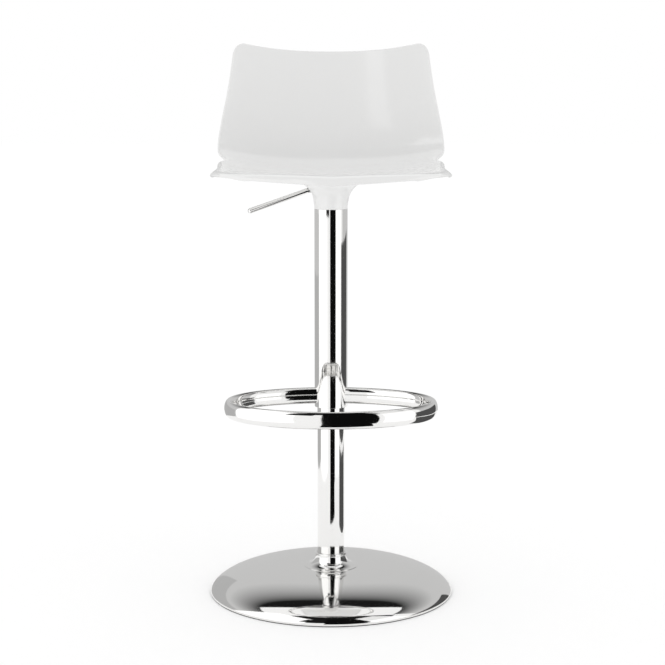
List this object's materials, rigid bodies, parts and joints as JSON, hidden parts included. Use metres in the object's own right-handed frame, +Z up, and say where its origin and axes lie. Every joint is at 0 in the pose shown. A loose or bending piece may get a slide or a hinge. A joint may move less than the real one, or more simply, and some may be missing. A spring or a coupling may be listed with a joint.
{
  "type": "adjustable swivel stool",
  "caption": "Height-adjustable swivel stool: one-piece moulded bucket seat, gas lift column, oval footrest, release lever and weighted round base.",
  "frame": {"origin": "middle of the base on the floor, on the column's axis", "axes": "+Z up along the column; the sitter faces -Y; +X to the sitter's left"},
  "size_m": [0.45, 0.4785, 1.0068],
  "materials": {
    "chrome": "mirror-polished chrome plate",
    "shell_plastic": "glossy white moulded plastic",
    "neck_plastic": "satin-gloss white moulded plastic",
    "black_rubber": "matt black rubber",
    "cast_ballast": "rough cast, black lacquer",
    "zinc_steel": "zinc-plated steel",
    "plain_steel": "plain machined steel",
    "black_steel": "black painted steel",
    "guide_plastic": "black nylon",
    "pale_nylon": "natural nylon",
    "brass": "turned brass"
  },
  "bodies": {
    "base": {"base_dome": "chrome", "floor_ring": "black_rubber", "ballast_disc": "cast_ballast", "column_flange": "black_steel", "flange_bolts": "zinc_steel", "flange_washers": "zinc_steel", "flange_nuts": "zinc_steel", "dome_spacer": "plain_steel", "foot_collar": "chrome", "collar_trim_ring": "chrome", "lower_tube": "chrome", "tube_end_plate": "plain_steel", "tube_guide_liner": "pale_nylon", "tube_top_bush": "guide_plastic", "bearing_lower_race": "plain_steel"},
    "bearing": {"bearing_cage": "pale_nylon", "bearing_balls": "plain_steel"},
    "rod": {"piston_rod": "plain_steel", "piston": "guide_plastic", "bearing_upper_race": "plain_steel", "rod_washer": "zinc_steel", "rod_clip": "zinc_steel"},
    "seat": {"seat_shell": "shell_plastic", "sleeve_tube": "chrome", "footrest_ring": "chrome", "neck_cover": "neck_plastic", "gas_cylinder": "black_steel", "rod_guide": "guide_plastic", "sleeve_guide_bush": "guide_plastic", "sleeve_top_ring": "plain_steel", "seat_hub": "black_steel", "seat_plate": "black_steel", "seat_washers": "zinc_steel", "seat_screws": "zinc_steel", "seat_inserts": "brass", "lever_ears": "black_steel", "lever_pivot": "zinc_steel"},
    "valve": {"valve_pin": "plain_steel"},
    "lever": {"release_lever": "chrome"}
  },
  "joints": [
    {"name": "seat_swivel", "type": "hinge", "parent": "base", "child": "rod", "pos_m": [0, 0, 0], "axis": [0, 0, 1], "continuous": true},
    {"name": "bearing_roll", "type": "hinge", "parent": "base", "child": "bearing", "pos_m": [0, 0, 0], "axis": [0, 0, 1], "continuous": true},
    {"name": "seat_lift", "type": "slide", "parent": "rod", "child": "seat", "axis": [0, 0, 1], "range_m": [-0.2, 0]},
    {"name": "lever_pull", "type": "hinge", "parent": "seat", "child": "lever", "pos_m": [-0.03, 0, 0.742], "axis": [0, 1, 0], "range_deg": [0, 6.5], "stiffness_Nm_per_rad": 4, "springref_deg": -5.73},
    {"name": "valve_press", "type": "slide", "parent": "seat", "child": "valve", "axis": [0, 0, -1], "range_m": [0, 0.0036]}
  ],
  "couplings": [
    {"joint": "bearing_roll", "follows": "seat_swivel", "ratio": 0.5},
    {"joint": "valve_press", "follows": "lever_pull", "m_per_rad": 0.03}
  ]
}
